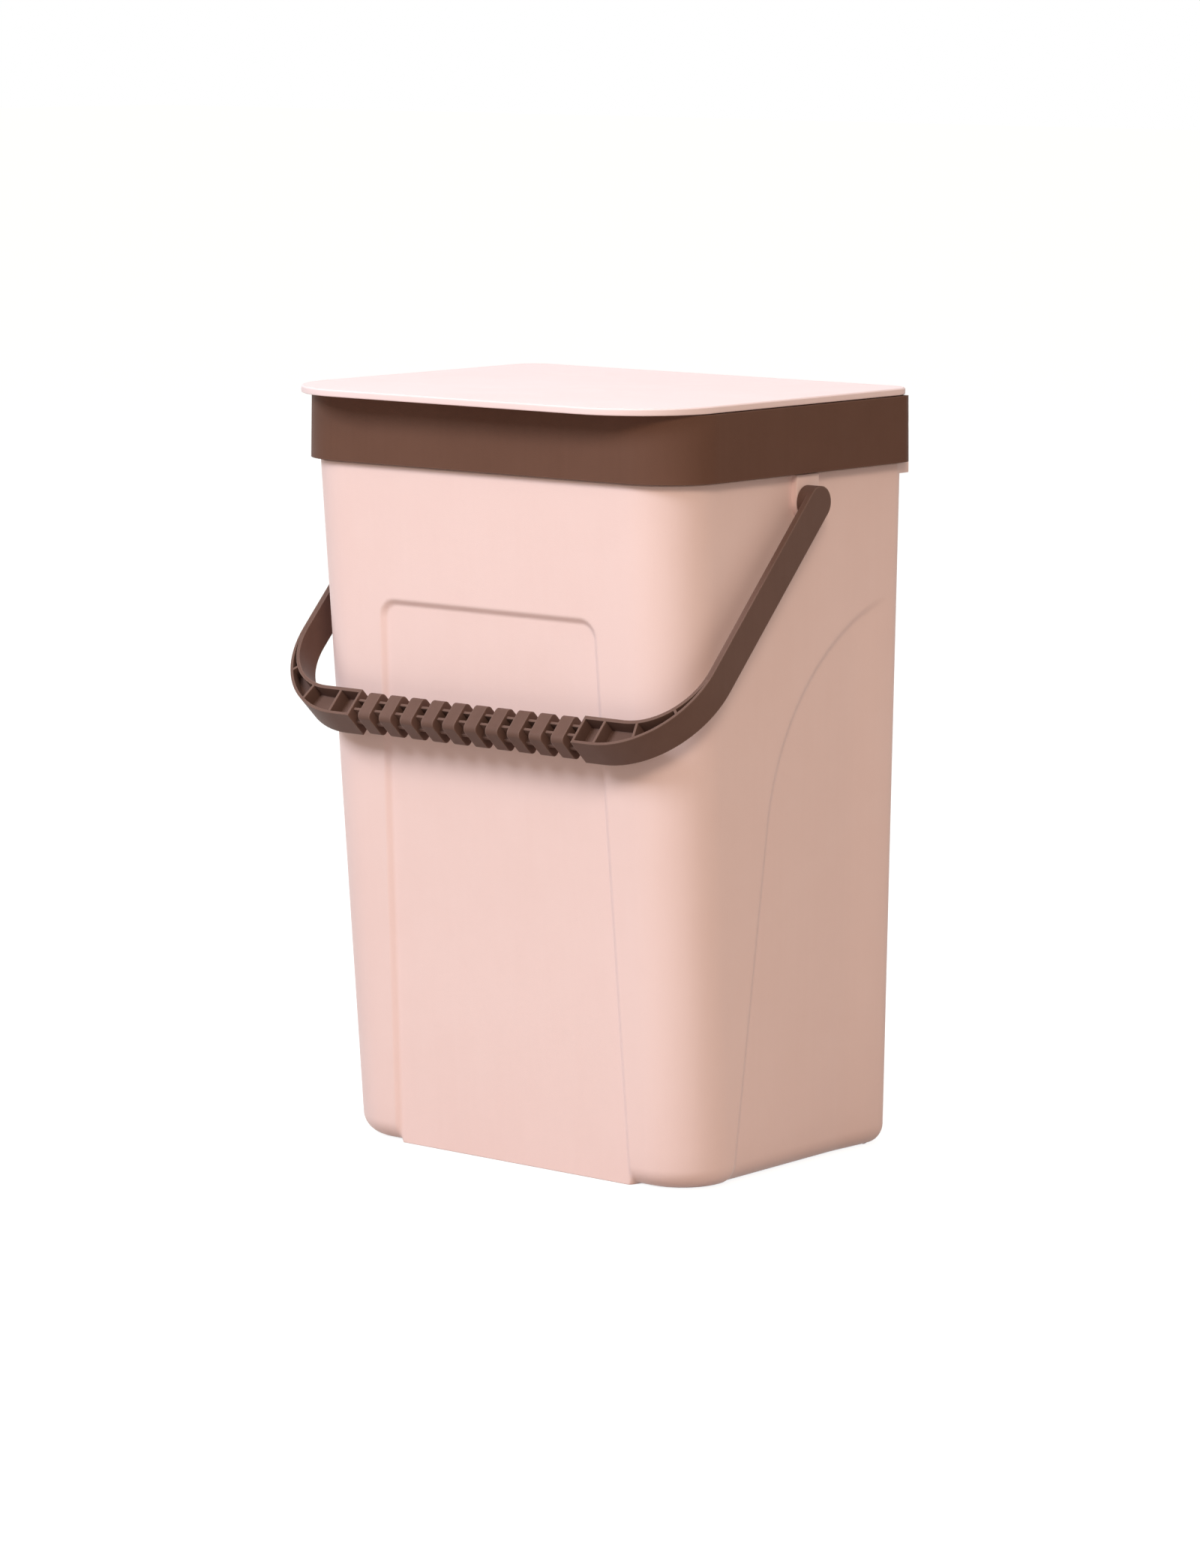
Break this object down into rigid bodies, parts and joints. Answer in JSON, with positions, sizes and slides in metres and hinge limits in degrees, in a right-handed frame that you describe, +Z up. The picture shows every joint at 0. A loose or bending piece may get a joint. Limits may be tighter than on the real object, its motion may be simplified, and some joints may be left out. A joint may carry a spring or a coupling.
{
  "type": "wall-mounted kitchen bin",
  "caption": "Tapered bucket with a ribbed swing handle, a lift-off lid frame and a rear-hinged lid, hung by its rear lip on a screwed wall bracket.",
  "frame": {"origin": "middle of the two wall screws, on the wall plane at the back of the bracket", "axes": "+Z up, +Y into the wall, -Y out of the wall towards the user, +X to the user's right"},
  "size_m": [0.2398, 0.2271, 0.3482],
  "materials": {
    "bucket": "fine matte pale pink moulded plastic",
    "lid": "fine matte pale pink moulded plastic",
    "lid_frame": "matte dark brown moulded plastic",
    "handle": "matte dark brown moulded plastic",
    "bracket": "matte pale pink moulded plastic",
    "screw": "zinc-plated steel",
    "plug": "plain grey nylon"
  },
  "bodies": {
    "wall_mount": {"wall_bracket": "bracket", "wall_screw_left": "screw", "wall_screw_right": "screw", "wall_plug_left": "plug", "wall_plug_right": "plug"},
    "bucket": {"bucket": "bucket"},
    "lid_frame": {"lid_frame": "lid_frame"},
    "lid": {"lid": "lid"},
    "handle": {"handle": "handle"}
  },
  "joints": [
    {"name": "bucket_lift_off", "type": "slide", "parent": "wall_mount", "child": "bucket", "axis": [0, 0, 1], "range_m": [0, 0.05]},
    {"name": "frame_lift_off", "type": "slide", "parent": "bucket", "child": "lid_frame", "axis": [0, 0, 1], "range_m": [0, 0.04]},
    {"name": "lid_hinge", "type": "hinge", "parent": "lid_frame", "child": "lid", "pos_m": [0, -0.0135, 0.0185], "axis": [-1, 0, 0], "range_deg": [0, 91]},
    {"name": "handle_swing", "type": "hinge", "parent": "bucket", "child": "handle", "pos_m": [0, -0.0876, -0.0198], "axis": [-1, 0, 0], "range_deg": [0, 160]}
  ]
}
